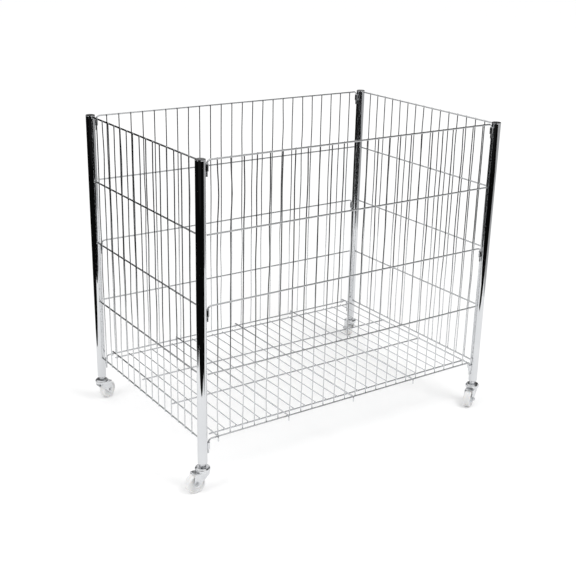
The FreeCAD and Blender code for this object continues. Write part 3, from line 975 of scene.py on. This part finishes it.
def forkOutline(top):
    # side view of a leg: level top, boss round the axle, edge that leans back to the shoulder
    values = fork
    front = Vector((-values["frontReach"], top - values["shoulder"]))
    rear = Vector((values["rearReach"], top))
    hub = Vector((axle.x, axle.z))
    outline = [Vector((-values["frontReach"], top)), rear]
    angles = []
    for corner, side in ((rear, -1), (front, 1)):
        away = corner - hub
        spread = math.acos(values["boss"] / away.length)
        angles.append(math.atan2(away.y, away.x) + side * spread)
    first, last = angles[0], angles[1] - 2 * math.pi
    for number in range(values["bossSteps"] + 1):
        angle = first + (last - first) * number / values["bossSteps"]
        outline.append(hub + values["boss"] * Vector((math.cos(angle), math.sin(angle))))
    return outline + [front]


def makeChannel(top):
    # plate bent down at both sides, cut to the legs' outline and drilled
    values = fork
    half, reach, margin = values["halfWidth"], values["blankReach"], values["margin"]
    deselectAll()
    bpy.ops.mesh.primitive_cube_add(size=1, location=(0, 0, top - reach / 2),
                                    scale=(2 * reach, 2 * half, reach))
    channel = settle(bpy.context.active_object)
    edit(channel)
    pick("faces", lambda face: face.normal.z < -0.5 or abs(face.normal.x) > 0.5)  # underside and ends
    bpy.ops.mesh.delete(type="FACE")
    pick("edges", lambda line: all(vert.co.z > top - margin for vert in line.verts)
         and abs(line.verts[0].co.y - line.verts[1].co.y) < margin)
    bpy.ops.mesh.bevel(offset=values["cornerRadius"], segments=values["cornerSteps"], affect="EDGES")
    turnOutwards()
    deselectAll()
    finishWith(channel, "SOLIDIFY", thickness=values["plate"], offset=-1)
    carve(channel, slabAlongY(forkOutline(top), half + margin), "INTERSECT")
    for radius, place, turn in ((values["swivelBore"], (0, 0, top), (0, 0, 0)),
                                (values["axleBore"], axle, (math.pi / 2, 0, 0))):
        deselectAll()
        bpy.ops.mesh.primitive_cylinder_add(vertices=values["boreSides"], radius=radius, depth=4 * half,
                                            location=place, rotation=turn)
        carve(channel, settle(bpy.context.active_object), "DIFFERENCE")
    return softenEdges(channel, values["edge"])


def makeFork():
    values = fork
    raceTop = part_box("fork_front_left")[1].z
    top = raceTop - values["raceHeight"]
    channel = makeChannel(top)
    foot, bore, outer = top - values["raceSink"], values["swivelBore"], values["raceRadius"]
    race = turnPiece([(bore, foot), (outer, foot), (outer, raceTop), (bore, raceTop)])
    softenEdges(race, values["raceEdge"], values["raceEdgeSteps"])
    return join([channel, race])


wheel = {
    "bore": 0.0046,
    "hub": 0.00905,
    "rim": 0.005,
    "dish": 0.003,
    "treadRound": 0.003,
    "edge": 0.0007,
    "edgeSteps": 3,
    "edgeFrom": 50,                # edges that turn more degrees than this are rounded
    "seam": 0.0003,                # parting line round the tread
    "seamDepth": 0.00012,
}


def makeWheel():
    values = wheel
    low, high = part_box("wheel_front_left")
    radius = (high.z - low.z) / 2
    face = (high.y - low.y) / 2
    web, rim = face - values["dish"], radius - values["rim"]
    bore, hub, corner = values["bore"], values["hub"], values["treadRound"]
    half = [(bore, face), (hub, face), (hub, web), (rim, web), (rim, face),
            *quarterArc(radius - corner, face - corner, corner, 90, 0), (radius, values["seam"])]
    other = [(across, -along) for across, along in reversed(half)]
    piece = turnPiece(half + [(radius - values["seamDepth"], 0)] + other)
    softenEdges(piece, values["edge"], values["edgeSteps"], values["edgeFrom"])
    return layOnAxle(piece, axle)


axleFasteners = {
    "radius": 0.003,
    "headRadius": 0.0055,
    "headHeight": 0.003,
    "headRound": 0.0011,
    "headCrown": ((-2, 0.15), (-0.4, 0.7), (0, 1.6)),  # its points, in roundings from the rim and the top
    "boltSteps": 40,
    "nutRadius": 0.0058,
    "nutHeight": 0.0045,
    "nutChamfer": 0.0003,
    "nutClearance": 0.00005,
    "end": 0.0015,                 # bolt end past its nut
    "endChamfer": 0.0006,
    "edge": 0.0002,
}


def makeAxleBolt():
    values = axleFasteners
    outer = fork["halfWidth"]
    tip = outer + values["nutHeight"] + values["end"]
    head = -(outer + values["headHeight"])
    radius, rim, end = values["radius"], values["headRadius"], values["endChamfer"]
    crown = [(rim + inwards * values["headRound"], head + down * values["headRound"])
             for inwards, down in values["headCrown"]]
    outline = [(0, head), *crown, (rim, -outer), (radius, -outer), (radius, tip - end), (radius - end, tip),
               (0, tip)]
    return layOnAxle(turnPiece(outline, values["boltSteps"]), axle)


def makeAxleNut():
    values = axleFasteners
    foot = fork["halfWidth"]
    nut = nutAround(values["nutRadius"], values["radius"] + values["nutClearance"], foot,
                    foot + values["nutHeight"], values["nutChamfer"])
    return layOnAxle(softenEdges(nut, values["edge"]), axle)


def spreadToCorners():
    # the last entry of a post's piece is 1 where it faces inwards along X
    postPieces = (
        (makePostTube(), "postTube", brightChrome, "chrome_plate", "post_", 0),
        (makePostCap(), "postCap", capPlastic, "cap_plastic", "post_cap_", 0),
        (makeSleeves(), "hookSleeves", brightChrome, "chrome_plate", "hook_sleeves_", 1),
        (makeFootInsert(), "footInsert", zinc, "zinc_plate", "foot_insert_", 0),
        (makeLockNut(), "lockNut", zinc, "zinc_plate", "lock_nut_", 0),
        (makeUpperRace(), "upperRace", zinc, "zinc_plate", "upper_race_", 0),
    )
    print("post pieces made")
    casterPieces = (
        (makeFork(), "forkPlate", zinc, "zinc_plate", "fork_", "caster_"),
        (makeAxleBolt(), "axleBolt", zinc, "zinc_plate", "axle_bolt_", "caster_"),
        (makeAxleNut(), "axleNut", zinc, "zinc_plate", "axle_nut_", "caster_"),
        (makeWheel(), "wheelTread", nylon, "wheel_nylon", "wheel_", "roller_"),
    )
    print("caster pieces made")
    for corner in corners:
        spot = postAxis(corner)
        place = Vector((spot.x, spot.y, 0))
        inwards = 0 if spot.x < 0 else math.pi
        name = "".join(word.title() for word in corner.split("_"))
        for master, kind, material, slot, node, faces in postPieces:
            piece = copyTo(master, place, inwards * faces)
            handOver(piece, kind + name, material, "frame", slot, node + corner)
        away = Vector(joints[corner + "_roll"]["pos_m"]) - place
        swivel = math.atan2(away.y, away.x)
        for master, kind, material, slot, node, body in casterPieces:
            piece = copyTo(master, place, swivel)
            handOver(piece, kind + name, material, body + corner, slot, node + corner)
    for master, *_ in postPieces + casterPieces:
        bpy.data.objects.remove(master)


spreadToCorners()
print("posts and casters placed")

# what stays as it comes from the frame, with its finish
keptNodes = {
    "caster_stem_": zinc,
    "race_balls_": bearingSteel,
    "wheel_bush_": bearingSteel,
}
for start, material in keptNodes.items():
    for corner in corners:
        frame["nodes"][start + corner].data.materials[0] = material


# camera, floor and light

view = {
    "place": (-1.5565, -2.2473, 1.3585),
    "azimuth": -34.57,
    "elevation": 20.10,
    "roll": 1.34,
    "lens": 63.52,
    "farEnd": 200,
}


def setCamera():
    camera = bpy.data.objects.new("camera", bpy.data.cameras.new("camera"))
    camera.data.lens = view["lens"]
    camera.data.clip_end = view["farEnd"]
    turn = Matrix.Rotation(math.radians(view["azimuth"]), 4, "Z")
    tilt = Matrix.Rotation(math.radians(90 - view["elevation"]), 4, "X")
    roll = Matrix.Rotation(math.radians(view["roll"]), 4, "Z")
    camera.matrix_world = Matrix.Translation(view["place"]) @ turn @ tilt @ roll
    bpy.context.scene.collection.objects.link(camera)
    bpy.context.scene.camera = camera


studio = {
    "floorSize": 60.0,
    "floorGrey": 0.72,             # what the floor gives back as light
    "floorShown": (1.06, 1.22),    # as camera and metal see it, near the object and far off; the rise far off is painted light, making up for the lamps' light falling off there
    "floorReach": (1.0, 4.0),      # how far from the middle near and far are
    "skyLight": 0.82,              # evenly from all round
    "lamps": {                     # place, size and power
        "key": ((0.83, -2.15, 3.6), 1.2, 34.0),
        "fill": ((-3.4, -0.34, 2.2), 1.8, 29.0),
    },
}

# the dim parts of the studio, shown to metal only, in the camera's directions:
# middle (right, away, up), width, height, tilt and turn in degrees, brightness
cards = {
    "floorRight": ((5.3, 0.0, 0.0010), 7.6, 18.0, 0, 0, 0.5),
    "floorLeft": ((-5.0, 0.0, 0.0020), 8.1, 18.0, 0, 0, 0.004),
    "floorFront": ((1.3, -5.05, 0.0020), 4.5, 8.0, 0, 0, 0.004),
    "floorNear": ((1.9, -0.92, 0.0020), 3.3, 0.26, 0, 0, 0.004),
    "wallLeftLow": ((-8.0, -2.7, 1.4), 6.4, 2.8, 90, 90, 0.012),
    "wallFront": ((-0.9, -3.0, 1.3), 3.0, 2.6, 90, 0, 0.012),
    "wallLeftBack": ((-8.0, 6.0, 3.3), 5.8, 6.6, 90, 90, 0.004),
    "wallBackLeft": ((-3.7, 4.6, 2.3), 5.2, 4.2, 90, 0, 0.004),
    "wallBackRight": ((3.3, 4.0, 4.4), 4.6, 8.0, 90, 0, 0.004),
    "flagRight": ((2.8, 1.55, 3.0), 6.0, 3.1, 90, 90, 0.012),
}


def makeCard(name, middle, width, height, tilt, turn, brightness):
    deselectAll()
    azimuth = math.radians(view["azimuth"])
    place = Matrix.Rotation(azimuth, 3, "Z") @ Vector(middle)
    bpy.ops.mesh.primitive_plane_add(size=1, location=place,
                                     rotation=(math.radians(tilt), 0, azimuth + math.radians(turn)))
    card = bpy.context.active_object
    card.name = name
    card.scale = (width, height, 1)
    settle(card)
    card.data.materials.append(newFinish(name, Roughness=1.0, Specular_IOR_Level=0.0,
                                         Base_Color=(0, 0, 0, 1), Emission_Color=(1, 1, 1, 1),
                                         Emission_Strength=brightness).owner)
    card.visible_camera = False
    card.visible_diffuse = False
    card.visible_shadow = False
    card.visible_transmission = False
    card.visible_volume_scatter = False


def seenRays(finish):
    kinds = ["Is Camera Ray", "Is Glossy Ray", "Is Transmission Ray"]
    rays = [finish.add("ShaderNodeLightPath", output=kind) for kind in kinds]
    return rays[0].atLeast(rays[1]).atLeast(rays[2])


def setSky():
    world = bpy.context.scene.world or bpy.data.worlds.new("world")
    bpy.context.scene.world = world
    sky = Finish(world)
    sky.tree.nodes["Background"].inputs["Color"].default_value = (1, 1, 1, 1)
    seen = seenRays(sky)
    sky.feed("Strength", seen + (1 - seen) * studio["skyLight"], "Background")


def layFloor():
    values = studio
    deselectAll()
    bpy.ops.mesh.primitive_plane_add(size=values["floorSize"])
    floor = bpy.context.active_object
    floor.name = "floor"
    paper = newFinish("paper", Roughness=1.0, Specular_IOR_Level=0.0)
    spot = paper.add("ShaderNodeTexCoord", output="Object")
    away = paper.add("ShaderNodeVectorMath", {"operation": "LENGTH"}, {0: spot}, "Value")
    # painted light: the floor's shown colour rises away from the middle to make up for the lamps' light
    # falling off
    shown = paper.blend(paper.bring(away, values["floorReach"]),
                        *((tone,) * 3 for tone in values["floorShown"]))
    paper.feed("Base Color", paper.blend(seenRays(paper), (values["floorGrey"],) * 3, shown))
    floor.data.materials.append(paper.owner)


def hangLamp(name, place, size, power):
    light = bpy.data.lights.new(name, "AREA")
    light.energy = power
    light.size = size
    lamp = bpy.data.objects.new(name, light)
    lamp.location = place
    lamp.rotation_euler = (-Vector(place)).to_track_quat("-Z", "Y").to_euler()
    lamp.visible_glossy = False
    bpy.context.scene.collection.objects.link(lamp)


setCamera()
setSky()
layFloor()
for name, shape in cards.items():
    makeCard(name, *shape)
for name, shape in studio["lamps"].items():
    hangLamp(name, *shape)
bpy.context.scene.view_settings.view_transform = "Standard"
print("stage set")

deselectAll()
